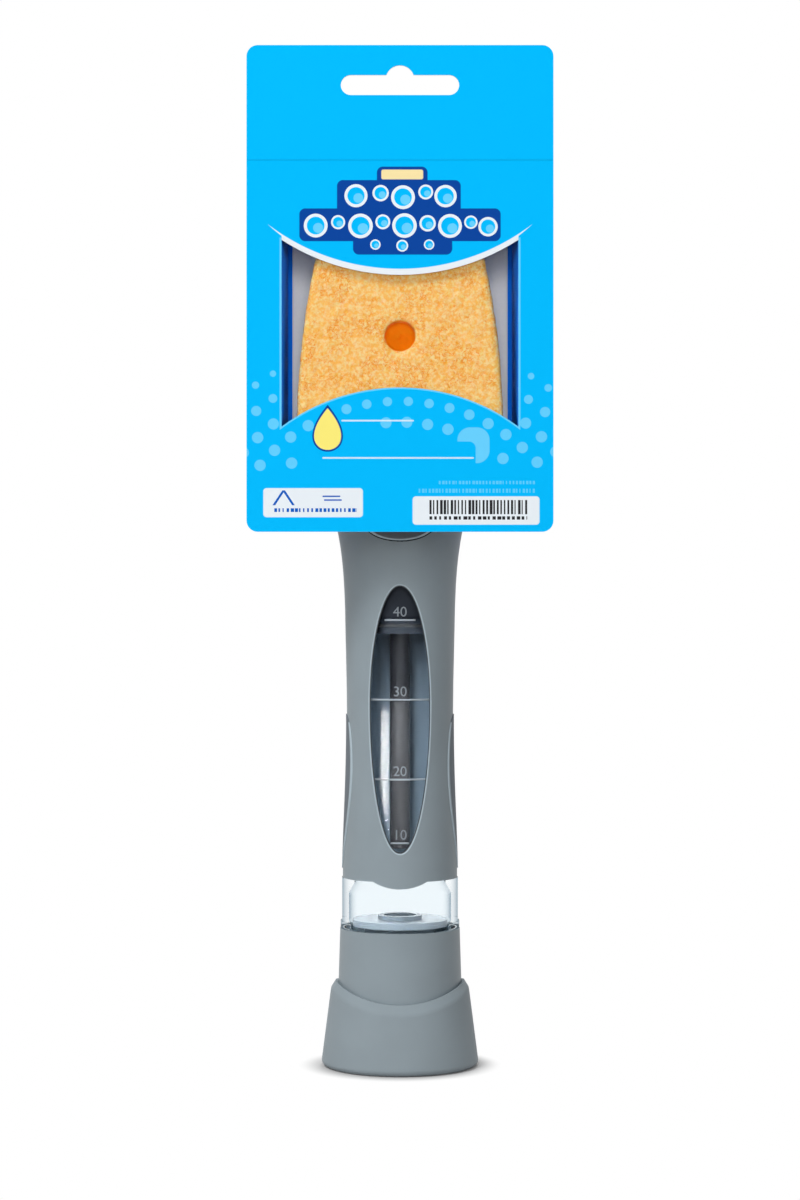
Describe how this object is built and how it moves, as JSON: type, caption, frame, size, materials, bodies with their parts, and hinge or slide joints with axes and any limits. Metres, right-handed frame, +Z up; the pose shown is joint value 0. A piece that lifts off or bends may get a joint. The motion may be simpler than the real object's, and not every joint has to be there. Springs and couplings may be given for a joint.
{
  "type": "soap dispensing dish wand",
  "caption": "Dish wand standing on a flared screw-cap foot, with a clear soap bottle in a windowed handle, a push-button pump and a sponge head in a hang-slot sleeve card.",
  "frame": {"origin": "middle of the flat sole of the foot", "axes": "+Z up along the handle, +X to the right, +Y away from the card's front"},
  "size_m": [0.0822, 0.0487, 0.2777],
  "materials": {
    "foot_rubber": "soft matte grey",
    "cap_grey": "moulded grey",
    "plug_pale": "milky clear",
    "seal_rubber": "black seal",
    "bottle_clear": "clear moulded",
    "handle_grey": "moulded grey",
    "grip_rubber": "dark soft grip",
    "pump_dark": "dark moulded",
    "valve_steel": "bright steel",
    "silicone": "milky silicone",
    "tube_dark": "smoky tube",
    "button_grey": "moulded dark grey",
    "carrier_white": "moulded white",
    "sponge_orange": "open foam",
    "card_blue": "coated card",
    "tray_board": "coated board"
  },
  "bodies": {
    "handle": {"handle_shell": "handle_grey", "spine_cover": "handle_grey", "left_grip": "grip_rubber", "right_grip": "grip_rubber", "reservoir": "bottle_clear", "pump_block": "pump_dark", "bottle_seal": "seal_rubber", "inlet_ball": "valve_steel", "outlet_valve": "silicone", "dip_tube": "tube_dark", "soap_tube": "silicone", "nozzle_seal": "seal_rubber"},
    "cap_seal": {"cap_gasket": "seal_rubber"},
    "cap": {"screw_cap": "cap_grey", "stand_foot": "foot_rubber", "cap_plug": "plug_pale"},
    "button": {"soap_button": "button_grey", "plunger": "pump_dark", "plunger_seal": "seal_rubber", "return_spring": "valve_steel"},
    "refill": {"carrier_plate": "carrier_white", "sponge": "sponge_orange"},
    "card": {"display_card": "card_blue", "card_tray": "tray_board"}
  },
  "joints": [
    {"name": "cap_lift", "type": "slide", "parent": "handle", "child": "cap_seal", "axis": [0, 0, -1], "range_m": [0, 0.01]},
    {"name": "cap_turn", "type": "hinge", "parent": "cap_seal", "child": "cap", "pos_m": [0, 0, 0.03], "axis": [0, 0, -1], "range_deg": [0, 720]},
    {"name": "button_press", "type": "slide", "parent": "handle", "child": "button", "axis": [0, 1, 0], "range_m": [0, 0.0025], "stiffness_N_per_m": 800, "deforming": ["return_spring"]},
    {"name": "refill_slide", "type": "slide", "parent": "handle", "child": "refill", "axis": [0, 0, 1], "range_m": [0, 0.09]},
    {"name": "card_slide", "type": "slide", "parent": "refill", "child": "card", "axis": [0, 0, 1], "range_m": [0, 0.105]}
  ],
  "couplings": [
    {"joint": "cap_lift", "follows": "cap_turn", "m_per_rad": 0.00079577}
  ]
}
